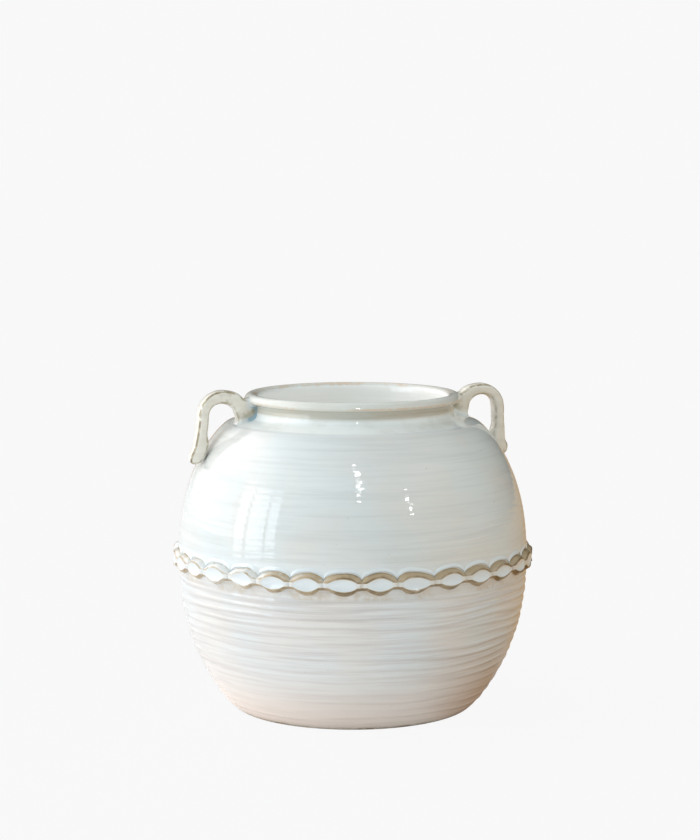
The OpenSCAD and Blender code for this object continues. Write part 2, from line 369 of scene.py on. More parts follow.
# %% Hollow and lip
HOLLOW_R = 5.0
tilt = math.atan(ledge_slope)
hollow_x = neck_r + HOLLOW_R
hollow_foot = hollow_x - HOLLOW_R * math.sin(tilt)
hollow_z = shoulder_h + (shoulder_r - hollow_foot) * ledge_slope + HOLLOW_R * math.cos(tilt)
bend = np.linspace(-math.pi / 2 - tilt, -math.pi, 14)
hollow_line = np.column_stack([hollow_x + HOLLOW_R * np.cos(bend),
                               hollow_z + HOLLOW_R * np.sin(bend)])
lip_line = through([
    (neck_r, rim_h - 10.3), (neck_r - 0.3, rim_h - 7.9), (neck_r + 1.2, rim_h - 6.2),
    (lip_r - 0.9, rim_h - 5.1), (lip_r, rim_h - 3.9), (lip_r - 0.3, rim_h - 2.7),
    (lip_r - 1.7, rim_h - 0.9), (lip_r - 4.2, rim_h), (throat_r + 1.7, rim_h - 0.9),
    (throat_r + 0.4, rim_h - 2.8), (throat_r, rim_h - 5.5)])
print("lip from", lip_line[:, 0].min().round(1), "to", lip_line[:, 0].max().round(1), "mm")

# %% [markdown]
# ## Joining runs into a profile
# A profile goes all the way round the section of the wall: outside, over the top, down the inside.
# It is put together from runs, each with its own spacing. A run also says how strongly the throwing
# rings mark it, how thin the glaze lies, how much it pools, and where the clay is bare.

# %% Small helpers for runs and marks
MARKS = ("ringed", "thin", "pool", "bare")


def smooth(x):
    """0 below 0, 1 above 1, and a soft step between."""
    x = np.clip(x, 0, 1)
    return x * x * (3 - 2 * x)


def set_mark(mesh, mark, values):
    """Stores a number for each point of a mesh under the name of a mark."""
    numbers = np.ascontiguousarray(values, np.float32).ravel()
    mesh.attributes.new(mark, "FLOAT", "POINT").data.foreach_set("value", numbers)


def inside(line, thickness, lowest=-1e9, highest=1e9):
    """The line moved inwards by a wall's thickness."""
    step = np.gradient(line, axis=0)
    normal = np.column_stack([step[:, 1], -step[:, 0]]) / np.hypot(*step.T)[:, None]
    moved = line - normal * np.asarray(thickness)
    moved[:, 1] = np.clip(moved[:, 1], lowest, highest)
    return moved


# %% Profile builder
def profile(name, runs):
    """A mesh of points in the XZ plane, in order, with the marks that each run has."""
    rows = []
    for points, step, marks in runs:
        line = evenly(points, step)[:-1]
        values = (marks.get(mark, 0.0) for mark in MARKS)
        rows.append(np.column_stack([line] + [
            np.broadcast_to(value(line) if callable(value) else value, len(line))
            for value in values]))
    table = np.vstack(rows + [rows[0][:1]])
    points = np.column_stack([table[:, 0], np.zeros(len(table)), table[:, 1]]) * MM
    mesh = bpy.data.meshes.new(name)
    mesh.from_pydata(points.tolist(), [(i, i + 1) for i in range(len(table) - 1)], [])
    step = np.roll(table[:-1, :2], -1, axis=0) - np.roll(table[:-1, :2], 1, axis=0)
    out = np.column_stack([step[:, 1], 0 * step[:, 0], -step[:, 0]]) / np.hypot(*step.T)[:, None]
    outwards = mesh.attributes.new("out", "FLOAT_VECTOR", "POINT")
    outwards.data.foreach_set("vector", np.vstack([out, out[:1]]).ravel())
    for column, mark in enumerate(MARKS, 2):
        set_mark(mesh, mark, table[:, column])
    print(f"{name}: {len(table)} points")
    return mesh


# %% [markdown]
# ## The wheel
# Turning a profile could be done with the Spin tool or a Screw modifier. A small Geometry Nodes
# tree is used here, because the same tree can also press the throwing rings into the wall while it
# turns. A grid has one column for each step of the turn and one row for each point of the profile.
# Each grid point looks up its profile point by index and is put at its angle.
#
# A throwing ring is the track of a finger that climbs while the wheel turns, so it is a spiral: it
# rises by one pitch in one turn. Between two tracks stands a soft ridge. Real tracks wander and
# fade, which two noise textures do. Their coordinates go round the pot, so they close on
# themselves.

# %% How a tree starts and ends
def new_tree(name, result, named_inputs):
    """A Geometry Nodes tree with a result and named inputs, most of them with a usual value."""
    tree = bpy.data.node_groups.new(name, "GeometryNodeTree")
    tree.interface.new_socket(name=result, in_out="OUTPUT", socket_type="NodeSocketGeometry")
    for title, kind, usual in named_inputs:
        socket = tree.interface.new_socket(name=title, in_out="INPUT", socket_type=kind)
        if usual is not None:
            socket.default_value = usual
    return tree, add(tree, "NodeGroupInput").outputs


def end_tree(tree, shape, weld_mm, glaze):
    """Welds the seams, smooths the faces, makes them real and gives them the glaze."""
    for kind, inputs in (("GeometryNodeMergeByDistance", {"Distance": weld_mm * MM}),
                         ("GeometryNodeSetShadeSmooth", {}),
                         ("GeometryNodeRealizeInstances", {}),
                         ("GeometryNodeSetMaterial", {"Material": glaze})):
        shape = add(tree, kind, {"Geometry": shape, **inputs})
    add(tree, "NodeGroupOutput", {0: shape})
    print(f"{tree.name}: {len(tree.nodes)} nodes")


def noise_round(tree, cosine, sine, speed, layer, seed, detail):
    """Noise that closes round the pot: speed is how fast it changes with the angle."""
    x = add(tree, "MULTIPLY", {0: cosine, 1: speed})
    y = add(tree, "MULTIPLY", {0: sine, 1: speed})
    vector = add(tree, "ShaderNodeCombineXYZ", {0: x, 1: y, 2: layer})
    return add(tree, "ShaderNodeTexNoise", {
        "Vector": vector, "W": seed, "Scale": 1.0, "Detail": detail}, noise_dimensions="4D")


# %% Wheel tree: a grid point's row and angle
wheel, given = new_tree("throw on the wheel", "Pot", (
    ("Profile", "NodeSocketGeometry", None), ("Turn Steps", "NodeSocketInt", 288),
    ("Ring Pitch", "NodeSocketFloat", 5.5 * MM), ("Ring Depth", "NodeSocketFloat", 0.4 * MM),
    ("Wander", "NodeSocketFloat", 0.6), ("Seed", "NodeSocketFloat", 0.0),
    ("Glaze", "NodeSocketMaterial", None)))
rows = add(wheel, "GeometryNodeAttributeDomainSize", {"Geometry": given["Profile"]},
           component="MESH").outputs["Point Count"]
columns = add(wheel, "ADD", {0: given["Turn Steps"], 1: 1.0})
grid = add(wheel, "GeometryNodeMeshGrid", {"Vertices X": columns, "Vertices Y": rows})
index = add(wheel, "GeometryNodeInputIndex")
row = add(wheel, "FLOORED_MODULO", {0: index, 1: rows})
columns_done = add(wheel, "DIVIDE", {0: index, 1: rows})
column = add(wheel, "FLOOR", {0: columns_done})
one_step = add(wheel, "DIVIDE", {0: math.tau, 1: given["Turn Steps"]})
angle = add(wheel, "MULTIPLY", {0: column, 1: one_step})
cosine = add(wheel, "COSINE", {0: angle})
sine = add(wheel, "SINE", {0: angle})
print("one column more than steps, because the last one is welded to the first")

# %% Wheel tree: what a grid point takes from its profile point
sources = {"place": ("FLOAT_VECTOR", add(wheel, "GeometryNodeInputPosition"))}
for mark, kind in (("out", "FLOAT_VECTOR"), *((mark, "FLOAT") for mark in MARKS)):
    sources[mark] = (kind, add(wheel, "GeometryNodeInputNamedAttribute", {"Name": mark},
                               data_type=kind))
taken = {}
for name, (kind, source) in sources.items():
    taken[name] = add(wheel, "GeometryNodeSampleIndex", {
        "Geometry": given["Profile"], "Value": source, "Index": row},
        data_type=kind, domain="POINT")
point_x, _, point_z = add(wheel, "ShaderNodeSeparateXYZ", {0: taken["place"]}).outputs
out_x, _, out_z = add(wheel, "ShaderNodeSeparateXYZ", {0: taken["out"]}).outputs
print("a grid point takes", ", ".join(taken))

# %% Wheel tree: noises that close round the pot
# A row has its use, how fast it changes with the angle, its grain in height and its detail.
tall = add(wheel, "MULTIPLY", {0: given["Ring Pitch"], 1: 2.2})
low = add(wheel, "MULTIPLY", {0: given["Ring Pitch"], 1: 0.45})
uneven = {}
for use, speed, grain, detail in (("track", 1.3, 22 * MM, 1.0), ("strength", 0.9, tall, 1.0),
                                  ("ripple", 1.6, low, 2.0)):
    layer = add(wheel, "DIVIDE", {0: point_z, 1: grain})
    uneven[use] = noise_round(wheel, cosine, sine, speed, layer, given["Seed"], detail)
print("noises for", ", ".join(uneven))

# %% Wheel tree: the rings
# The outline lies this far up a full ridge, so that tracks cut into it and ridges stand on it.
LEVEL = 0.35
# Where along the spiral a point lies: a whole number is a ridge, a half is the bottom of a track.
pitches = add(wheel, "DIVIDE", {0: point_z, 1: given["Ring Pitch"]})
turns = add(wheel, "DIVIDE", {0: angle, 1: math.tau})
climb = add(wheel, "SUBTRACT", {0: pitches, 1: turns})
stray = add(wheel, "SUBTRACT", {0: uneven["track"], 1: 0.5})
reach = add(wheel, "MULTIPLY", {0: given["Wander"], 1: 4.0})
strayed = add(wheel, "MULTIPLY", {0: stray, 1: reach})
ridge = add(wheel, "ADD", {0: climb, 1: strayed})
for kind, number in (("MULTIPLY", math.pi), ("COSINE", 0.0), ("ABSOLUTE", 0.0), ("POWER", 4.5)):
    ridge = add(wheel, kind, {0: ridge, 1: number})
# A ridge is strong in some places and nearly gone in others, and finer ripples lie over it.
strong = add(wheel, "MULTIPLY_ADD", {0: uneven["strength"], 1: 2.6, 2: -0.55})
strong = add(wheel, "MAXIMUM", {0: strong, 1: 0.15})
ridge = add(wheel, "MULTIPLY", {0: ridge, 1: strong})
ripple = add(wheel, "SUBTRACT", {0: uneven["ripple"], 1: 0.5})
relief = add(wheel, "MULTIPLY_ADD", {0: ripple, 1: 0.45, 2: ridge})
crest = add(wheel, "MULTIPLY", {0: relief, 1: taken["ringed"]})
middle = add(wheel, "MULTIPLY", {0: taken["ringed"], 1: LEVEL})
lift = add(wheel, "SUBTRACT", {0: crest, 1: middle})
lift = add(wheel, "MULTIPLY", {0: lift, 1: given["Ring Depth"]})
print(f"a full ridge stands {1 - LEVEL:.2f} of the ring depth above the outline")

# %% Wheel tree: the turned shape
radius = add(wheel, "MULTIPLY_ADD", {0: out_x, 1: lift, 2: point_x})
height = add(wheel, "MULTIPLY_ADD", {0: out_z, 1: lift, 2: point_z})
x = add(wheel, "MULTIPLY", {0: radius, 1: cosine})
y = add(wheel, "MULTIPLY", {0: radius, 1: sine})
placed = add(wheel, "ShaderNodeCombineXYZ", {0: x, 1: y, 2: height})
shape = add(wheel, "GeometryNodeSetPosition", {"Geometry": grid, "Position": placed})
for mark, value in (("crest", crest), ("thin", taken["thin"]), ("pool", taken["pool"]),
                    ("bare", taken["bare"])):
    shape = add(wheel, "GeometryNodeStoreNamedAttribute", {
        "Geometry": shape, "Name": mark, "Value": value}, data_type="FLOAT", domain="POINT")
end_tree(wheel, shape, 0.01, given["Glaze"])

# %% [markdown]
# ## From a tree to a plain mesh
# A finished piece is a plain mesh at the origin, with no modifier left. The inputs are set by each
# socket's identifier before the first evaluation. If the faces turned out to point inwards, the
# signed volume is negative and they are flipped.

# %% Run a tree and keep its mesh
def finish_mesh(mesh, name, sharp):
    """Names a mesh, points its faces outwards and marks its edges above an angle as sharp."""
    mesh.name = name
    mesh.calc_loop_triangles()
    corners = np.empty(len(mesh.loop_triangles) * 3, np.int32)
    mesh.loop_triangles.foreach_get("vertices", corners)
    a, b, c = (points_of(mesh)[corners.reshape(-1, 3)[:, i]] for i in range(3))
    volume = np.einsum("ij,ij->i", a, np.cross(b, c)).sum() / 6
    if volume < 0:
        mesh.flip_normals()
    mesh.set_sharp_from_angle(angle=math.radians(sharp))
    print(f"{name}: {len(a)} triangles, {abs(volume) * 1e6:.0f} cm3")


def fired(name, source, tree, settings, sharp=35):
    """Runs a tree on a mesh and keeps the result as a plain piece."""
    piece = put(name, source)
    modifier = piece.modifiers.new("shape", "NODES")
    modifier.node_group = tree
    for socket in tree.interface.items_tree:
        if socket.name in settings:
            modifier[socket.identifier] = settings[socket.name]
    graph = bpy.context.evaluated_depsgraph_get()
    mesh = bpy.data.meshes.new_from_object(
        piece.evaluated_get(graph), preserve_all_data_layers=True, depsgraph=graph)
    piece.modifiers.remove(modifier)
    piece.data = mesh
    finish_mesh(mesh, name, sharp)
    return piece


# %% [markdown]
# ## The lower half
# It has the foot, the coarse rings and the edge of the glaze. The potter wiped the glaze off the
# base, so that the jar didn't stick to the kiln shelf. The bare clay shows there, and a fine uneven
# tan line runs round the bottom of the wall. A groove in the half's rim takes the upper half.

# %% Marks of the lower half
def low_rings(line):
    """Rings all the way up, fading out at the foot and under the band."""
    return smooth((line[:, 1] - 2.5) / 7) * smooth((seam_h - 6 - line[:, 1]) / 5)


def low_thin_and_shadow(line):
    """Thin glaze round the foot and, less so, a brownish line just below the band, which is
    partly a stain in the glaze and partly painted shadow under the band.
    """
    return smooth((3.2 - line[:, 1]) / 2.6) + 0.32 * smooth((line[:, 1] - seam_h + 12) / 3)


def wiped_off(line):
    """Bare clay on the base and round its edge."""
    return smooth((0.75 - line[:, 1]) / 0.5)


# %% Throw the lower half
TURN_STEPS = 288
GROOVE_W, BASE_EDGE, SKIRT = 3.2, 1.6, 1.1
groove_mid, groove_d = waist_r - wall_t / 2, seam_h - tongue_h
groove = [(groove_mid + GROOVE_W / 2, seam_h), (groove_mid, seam_h - groove_d),
          (groove_mid - GROOVE_W / 2, seam_h)]
low_wall = low_line[low_line[:, 1] > SKIRT]
foot_edge = through([(foot_r - BASE_EDGE, 0), (foot_r - 0.3, 0.12), (foot_r + 0.7, 0.5),
                     low_wall[0]], 5)
low_inner = inside(low_line[1:], np.array([wall_t, floor_t]), lowest=floor_t)[::-1]
low_profile = profile("lower half profile", [
    ([(0, 0), (foot_r - BASE_EDGE, 0)], 3.0, {"bare": 1.0}),
    (foot_edge, 0.3, {"bare": wiped_off, "thin": 1.0}),
    (low_wall, 0.5, {"ringed": low_rings, "thin": low_thin_and_shadow}),
    ([(waist_r, seam_h), groove[0]], 1.5, {}),
    (groove, 1.5, {}),
    ([groove[-1], (waist_r - wall_t, seam_h)], 1.5, {}),
    (low_inner, 2.2, {"ringed": 0.6, "pool": 2.0}),
    ([low_inner[-1], (0, floor_t)], 4.0, {"pool": 2.0}),
])
lower_half = fired("lower_half", low_profile, wheel, {
    "Turn Steps": TURN_STEPS, "Ring Pitch": 5.5 * MM, "Ring Depth": 0.5 * MM, "Wander": 0.5,
    "Seed": 3.7, "Glaze": ringed_glaze})

# %% [markdown]
# ## The upper half
# Its rings are finer, because the potter smoothed it with a rib. The shoulder turns into the ledge
# over a soft corner, where the glaze is thin. Its tongue stands in the lower half's groove, and a
# stepped seat in its top takes the neck ring.

# %% Marks of the upper half
def up_rings(line):
    """Faint rings that fade out over the band and at the shoulder."""
    above_band = smooth((line[:, 1] - seam_h - 4) / 5)
    return 0.36 * above_band * smooth((shoulder_h - 1.5 - line[:, 1]) / 4)


def corner_thin(line):
    """Thin glaze along the shoulder's soft corner."""
    apart = (line[:, 0] - shoulder_r + 0.4) ** 2 + (line[:, 1] - shoulder_h) ** 2
    return 0.22 * np.exp(-apart / 1.1 ** 2)


def ledge_pool(line):
    """Glaze that lies thicker on the ledge and thins out over the shoulder's corner."""
    return smooth((shoulder_r + 1.6 - line[:, 0]) / 4.2)


def up_pool(line):
    """The ledge's thick glaze, and some that ran down the wall and gathered over the band."""
    return np.maximum(0.5 * smooth((seam_h + 13 - line[:, 1]) / 6), ledge_pool(line))


# %% Throw the upper half
up_inner = inside(up_line[:-1], wall_t, highest=spigot_h)[::-1]
up_profile = profile("upper half profile", [
    (groove[::-1], 1.5, {}),
    ([groove[0], (waist_r, seam_h)], 1.5, {}),
    (up_line, 0.45, {"ringed": up_rings, "thin": corner_thin, "pool": up_pool}),
    ([(shoulder_r, shoulder_h), (collar_r, collar_z)], 0.4,
     {"thin": corner_thin, "pool": ledge_pool}),
    ([(collar_r, collar_z), (collar_r, seat_h)], 1.5, {}),
    ([(collar_r, seat_h), (spigot_r, seat_h)], 3.0, {}),
    ([(spigot_r, seat_h), (spigot_r, spigot_h)], 2.0, {}),
    ([(spigot_r, spigot_h), up_inner[0]], 2.0, {}),
    (up_inner, 2.5, {"ringed": 0.3, "pool": 2.0}),
    ([up_inner[-1], groove[-1]], 1.5, {}),
])
upper_half = fired("upper_half", up_profile, wheel, {
    "Turn Steps": TURN_STEPS, "Ring Pitch": 4.0 * MM, "Ring Depth": 0.2 * MM, "Wander": 0.8,
    "Seed": 8.2, "Glaze": white_glaze})

# %% [markdown]
# ## The neck ring
# Glaze pools in its hollow and breaks over the lip: a fine line on the outer arris, and another on
# the crest of the rim. The glaze of the ring is a darker grey, which paints the shade in the
# undercut under the lip. Its spigot drops into the shoulder's opening.

# %% Marks of the neck ring
def lip_thin(line):
    """Thin glaze on the arris and along the inner crest of the lip."""
    from_arris = (line[:, 0] - lip_r) ** 2 + (line[:, 1] - rim_h + 4.1) ** 2
    from_crest = (line[:, 0] - throat_r - 2.2) ** 2 + (line[:, 1] - rim_h) ** 2
    return np.maximum(0.5 * np.exp(-from_arris / 0.8 ** 2), 0.54 * np.exp(-from_crest / 2.6 ** 2))


def lip_pool(line):
    """Thicker glaze over the lip's roll, and the thick coat of the inside from the throat down."""
    below_rim = rim_h - line[:, 1]
    roll = 0.38 * smooth((5.4 - below_rim) / 1.2) + 0.15 * smooth((2.2 - below_rim) / 1.6)
    return np.maximum(roll, 2 * smooth((throat_r + 1.6 - line[:, 0]) / 1.4))


def hollow_pool(line):
    """Glaze that ran together in the hollow."""
    return smooth((shoulder_h + 9.5 - line[:, 1]) / 3.5)


def throat_rings(line):
    """Rings in the throat, from below the lip down."""
    return 0.8 * smooth((rim_h - 6 - line[:, 1]) / 3)


# %% Throw the neck ring
ring_profile = profile("neck ring profile", [
    ([(throat_r, spigot_h), (spigot_r, spigot_h)], 2.0, {}),
    ([(spigot_r, spigot_h), (spigot_r, seat_h)], 2.0, {}),
    ([(spigot_r, seat_h), (collar_r, seat_h)], 3.0, {}),
    ([(collar_r, seat_h), (collar_r, collar_z)], 1.5, {}),
    ([(collar_r, collar_z), hollow_line[0]], 0.5, {"pool": 1.0}),
    (hollow_line, 0.35, {"pool": hollow_pool}),
    ([hollow_line[-1], lip_line[0]], 0.5, {"pool": hollow_pool}),
    (lip_line, 0.28, {"thin": lip_thin, "pool": lip_pool}),
    ([lip_line[-1], (throat_r, spigot_h)], 0.8, {"ringed": throat_rings, "pool": 2.0}),
])
neck_ring = fired("neck_ring", ring_profile, wheel, {
    "Turn Steps": TURN_STEPS, "Ring Pitch": 2.6 * MM, "Ring Depth": 0.25 * MM, "Wander": 0.5,
    "Seed": 5.1, "Glaze": neck_glaze_shaded})

# %% [markdown]
# ## The pinched band
# The potter laid a strip of clay over the joint and pinched it between thumb and finger, once for
# every link. Each pinch leaves a narrow ridge, and the thumb leaves a shallow dish between two
# pinches. The strip's upper flank is a crescent above each dish.
#
# One link is modelled flat, by formula, as a strip of section lines from neck to neck. Modelling
# 32 links by hand would be slow, and copying one exactly would look moulded. So Geometry Nodes
# lays the copies in a row, joins them and wraps the row round the waist, and noise stretches and
# shifts it a little on the way, so that no two links are the same.

# %% Sizes of the band, in mm
LINKS = 32
FACE_H, RIDGE_H, DISH_D, FACE_SHARE = 8.8, 3.0, 1.2, 0.84
CRESCENT_LOW, CRESCENT_RISE = 2.5, 4.5
link_pitch = math.tau * band_r / LINKS
print(f"band middle at {band_h:.1f} mm, one link every {link_pitch:.1f} mm")

# %% One section of a link
def link_section(share, edge, full, top):
    """Rows of radius, height, thin and pool: lower flank, dished face, upper flank, glaze film."""
    wall = waist_r - 0.8
    face_r = band_r - 1.1 * (1 - full)
    low_flank, up_flank = 1.9 + 0.5 * full, top - edge - 0.2
    section = []
    # The lower flank faces down. Its thin mark gives the brown of thin glaze and also painted shade
    # under the strip.
    for t in np.arange(9) / 8:
        section.append((
            wall + (face_r - 0.4 - wall) * t ** 0.7, -edge - 0.2 - low_flank * (1 - t) ** 1.2,
            smooth((t - 0.1) / 0.25), 0.3 * smooth((0.2 - t) / 0.2)))
    for k in range(17):
        v = -1 + 2 * k / 16
        dish = DISH_D * (1 - min(share / FACE_SHARE, 1) ** 2) * (1 - v * v) ** 0.9
        rim = max(smooth((v - 0.82) / 0.16), smooth((-v - 0.7) / 0.2))
        neck = 0.22 * smooth((share - FACE_SHARE) / 0.05)
        section.append((
            face_r - dish - 0.12 * (abs(v) > 0.99), v * edge, max(rim, neck),
            (1 - abs(v) ** 3) * smooth((FACE_SHARE - 0.08 - share) / 0.2)))
    for k in range(11):
        t = 1 - k / 10
        outline = np.exp(-((t - 0.15) / 0.12) ** 2) + 1.2 * smooth((t - 0.68) / 0.25)
        brown = smooth(t / 0.12) * (0.64 + 0.28 * outline) * (0.6 + 0.4 * full)
        section.append((
            wall + (face_r - 0.35 - wall) * (1 - (1 - t) ** 1.5),
            edge + 0.2 + up_flank * (1 - t) ** 0.95, brown, 0.8 * smooth((0.12 - t) / 0.12)))
    # A film of glaze fills the corner over the strip and follows its arches.
    for lift, beyond in ((0.5, 0.5), (0.34, 1.1), (0.16, 1.8), (-0.1, 2.5)):
        section.append((waist_r + lift, top + beyond, 0.0, 1.0))
    return section


# %% One link, flat
def link_mesh(columns=40):
    """One link from neck to neck: x along the band, y the radius, z the height above its middle."""
    along = link_pitch / 2 * np.sin(np.linspace(-math.pi / 2, math.pi / 2, columns + 1))
    share = np.abs(along) / (link_pitch / 2)
    # The dish is a lens, and a short ridge of even height joins it to the next one.
    lens = FACE_H / 2 * np.maximum(1 - (share / FACE_SHARE) ** 2.0, 0) ** 0.85
    edge = (lens ** 8 + (RIDGE_H / 2) ** 8) ** (1 / 8)
    full = (1 - share ** 4) ** 0.7
    crescent = CRESCENT_LOW + CRESCENT_RISE * (1 - share ** 2.6) ** 0.62
    table = np.array([[(x, *point) for point in link_section(*sizes)]
                      for x, *sizes in zip(along, share, edge, full, crescent)])
    count = table.shape[1]
    # The back lies a little inside the wall and closes the strip.
    faces = [(c * count + r, (c + 1) * count + r, (c + 1) * count + (r + 1) % count,
              c * count + (r + 1) % count) for c in range(columns) for r in range(count)]
    mesh = bpy.data.meshes.new("one link")
    mesh.from_pydata((table[..., :3].reshape(-1, 3) * MM).tolist(), [], faces)
    set_mark(mesh, "thin", table[..., 3])
    set_mark(mesh, "pool", table[..., 4])
    return mesh


one_link = link_mesh()
print("one link has", len(one_link.polygons), "faces")

# %% Band tree: links in a row
pinch, given = new_tree("press the band", "Band", (
    ("Link", "NodeSocketGeometry", None), ("Links", "NodeSocketInt", 32),
    ("Pitch", "NodeSocketFloat", 22 * MM), ("First Angle", "NodeSocketFloat", 0.0),
    ("Middle Height", "NodeSocketFloat", 100 * MM), ("Pitch Wander", "NodeSocketFloat", 0.03),
    ("Height Wander", "NodeSocketFloat", 1 * MM), ("Seed", "NodeSocketFloat", 0.0),
    ("Glaze", "NodeSocketMaterial", None)))
offset = add(pinch, "ShaderNodeCombineXYZ", {0: given["Pitch"]})
spots = add(pinch, "GeometryNodeMeshLine", {"Count": given["Links"], "Offset": offset},
            mode="OFFSET")
copies = add(pinch, "GeometryNodeInstanceOnPoints", {"Points": spots, "Instance": given["Link"]})
strip = add(pinch, "GeometryNodeRealizeInstances", {"Geometry": copies})
position = add(pinch, "GeometryNodeInputPosition")
flat_x, flat_y, flat_z = add(pinch, "ShaderNodeSeparateXYZ", {0: position}).outputs
length = add(pinch, "MULTIPLY", {0: given["Pitch"], 1: given["Links"]})
part = add(pinch, "DIVIDE", {0: flat_x, 1: length})
around = add(pinch, "MULTIPLY_ADD", {0: part, 1: math.tau, 2: given["First Angle"]})
print("links lie in a row along x")

# %% Band tree: noises between -1 and 1 that close round the waist
cosine = add(pinch, "COSINE", {0: around})
sine = add(pinch, "SINE", {0: around})
wander = {}
for use, speed, layer in (("pitch", 4.5, 0.0), ("size", 6.0, 5.0), ("height", 2.5, 9.0)):
    value = noise_round(pinch, cosine, sine, speed, layer, given["Seed"], 1.0)
    wander[use] = add(pinch, "MULTIPLY_ADD", {0: value, 1: 4.0, 2: -2.0})
print("noises for", ", ".join(wander))

# %% Band tree: the row wrapped round the waist
theta = add(pinch, "MULTIPLY_ADD", {0: wander["pitch"], 1: given["Pitch Wander"], 2: around})
grow = add(pinch, "MULTIPLY_ADD", {0: wander["size"], 1: 0.09, 2: 1.0})
middle = add(pinch, "MULTIPLY_ADD", {
    0: wander["height"], 1: given["Height Wander"], 2: given["Middle Height"]})
level = add(pinch, "MULTIPLY_ADD", {0: flat_z, 1: grow, 2: middle})
cosine = add(pinch, "COSINE", {0: theta})
sine = add(pinch, "SINE", {0: theta})
x = add(pinch, "MULTIPLY", {0: flat_y, 1: cosine})
y = add(pinch, "MULTIPLY", {0: flat_y, 1: sine})
wrapped = add(pinch, "ShaderNodeCombineXYZ", {0: x, 1: y, 2: level})
shape = add(pinch, "GeometryNodeSetPosition", {"Geometry": strip, "Position": wrapped})
end_tree(pinch, shape, 0.02, given["Glaze"])

# %% Press the band on
FIRST_LINK_DEGREES, BAND_DROP = 4.1, 0.9
band = fired("thumb_pinched_band", one_link, pinch, {
    "Links": LINKS, "Pitch": link_pitch * MM, "First Angle": math.radians(FIRST_LINK_DEGREES),
    "Middle Height": (band_h - BAND_DROP) * MM, "Pitch Wander": 0.02,
    "Height Wander": 0.7 * MM, "Seed": 2.4, "Glaze": band_glaze}, sharp=50)

# %% [markdown]
# ## The handles
# Each handle is a strap of clay, bent in an arch. One end is smeared onto the neck and the ledge,
# the other is pressed on the shoulder. Such a shape is easiest as a sweep: a row of sections along
# a path, where each section has its own width and thickness. A curve with a bevel would keep one
# section all along, so the rows are made in code.
#
# Where a strap meets the wall, wet clay and glaze fill the corner. Points near the wall are moved
# sideways along it by the height of a fillet, so that the strap flares out onto the wall.

# %% Distance to the wall
skin_line = np.vstack([low_line[::6], up_line[3::6], hollow_line[:-1:2], lip_line[::3]])


def wall_distance(radius, height):
    """Distance of points to the jar's outer wall, negative inside it, and the wall's normal."""
    a, b = skin_line[:-1], skin_line[1:]
    p = np.column_stack([radius, height])[:, None, :]
    ab = (b - a)[None]
    t = np.clip(((p - a) * ab).sum(-1) / (ab ** 2).sum(-1), 0, 1)
    gap = p - (a + ab * t[..., None])
    far = np.hypot(gap[..., 0], gap[..., 1])
    near = far.argmin(1)
    pick = np.arange(len(near))
    normal = np.column_stack([ab[0, near, 1], -ab[0, near, 0]])
    normal /= np.hypot(*normal.T)[:, None]
    sign = np.sign((gap[pick, near] * normal).sum(1))
    return far[pick, near] * np.where(sign == 0, 1, sign), normal


print("5 mm outside the waist it says", wall_distance([waist_r + 5], [seam_h])[0].round(2))

# %% Fillet onto the wall
FILLET = 2.6


def onto_wall(points, middle):
    """Slides points near the wall along it, away from the strap's middle, the nearer the more."""
    radius = np.hypot(points[:, 0], points[:, 1])
    gap, normal = wall_distance(radius, points[:, 2])
    near = np.clip(1 - gap / FILLET, 0, 1)
    slide = FILLET * (1 - np.sqrt(1 - near ** 2 * 0.98))
    out = np.stack([normal[:, 0] * points[:, 0] / radius, normal[:, 0] * points[:, 1] / radius,
                    normal[:, 1]], -1)
    away = points - middle
    away -= out * (away * out).sum(1)[:, None]
    away /= np.maximum(np.linalg.norm(away, axis=1), 0.3)[:, None]
    return points + away * (slide * 0.8)[:, None], gap, radius


# %% Path of a strap
STRAP_T, EYE_R = 6.5, 8.9
handle_low, handle_high = (np.array(c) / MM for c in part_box("right_handle"))
strap_w = handle_high[1] - handle_low[1]
arch_r = EYE_R + STRAP_T / 2
arch_x = lip_r + 1.1 + STRAP_T + EYE_R
arch_z = handle_high[2] - STRAP_T / 2 - arch_r
tip_z = handle_low[2] + 3.6


def strap_path(tip_x, tip_drop, lean):
    """The middle line of a strap, from its root on the ledge, over the arch, to its tip."""
    root = [(arch_x - arch_r - 2.8, shoulder_h - 1.5), (arch_x - arch_r - 1.0, shoulder_h + 2.8)]
    arch = [(arch_x - arch_r * math.cos(a), arch_z + arch_r * math.sin(a))
            for a in np.linspace(0.0, math.pi, 9)]
    leg = [(arch_x + arch_r + 0.1, arch_z - 7.5), (arch_x + arch_r + 0.6, arch_z - 14.5),
           (tip_x - 1.0, tip_z + 5.5 - tip_drop), (tip_x + 0.3, tip_z - 0.5 - tip_drop),
           (tip_x + 0.7, tip_z - 3.4 - tip_drop)]
    path = through(root + arch + leg, 12)
    down = np.clip((arch_z - path[:, 1]) / (arch_z - tip_z), 0, 1.2)
    path[:, 0] += lean * down ** 1.5 * (path[:, 0] > arch_x)
    return evenly(path, 0.7)


print(f"strap {strap_w:.1f} mm wide, arch {arch_r:.1f} mm in radius at {arch_x:.1f}, {arch_z:.1f}")

# %% Sections of a strap
SIDES, SQUARENESS = 48, 3.4
# A section is a rectangle with round corners: across is 1 on its outer face, aside 1 on a side.
turn = np.linspace(0, math.tau, SIDES, endpoint=False)
across, aside = (np.sign(wave) * np.abs(wave) ** (2 / SQUARENESS)
                 for wave in (np.cos(turn), np.sin(turn)))


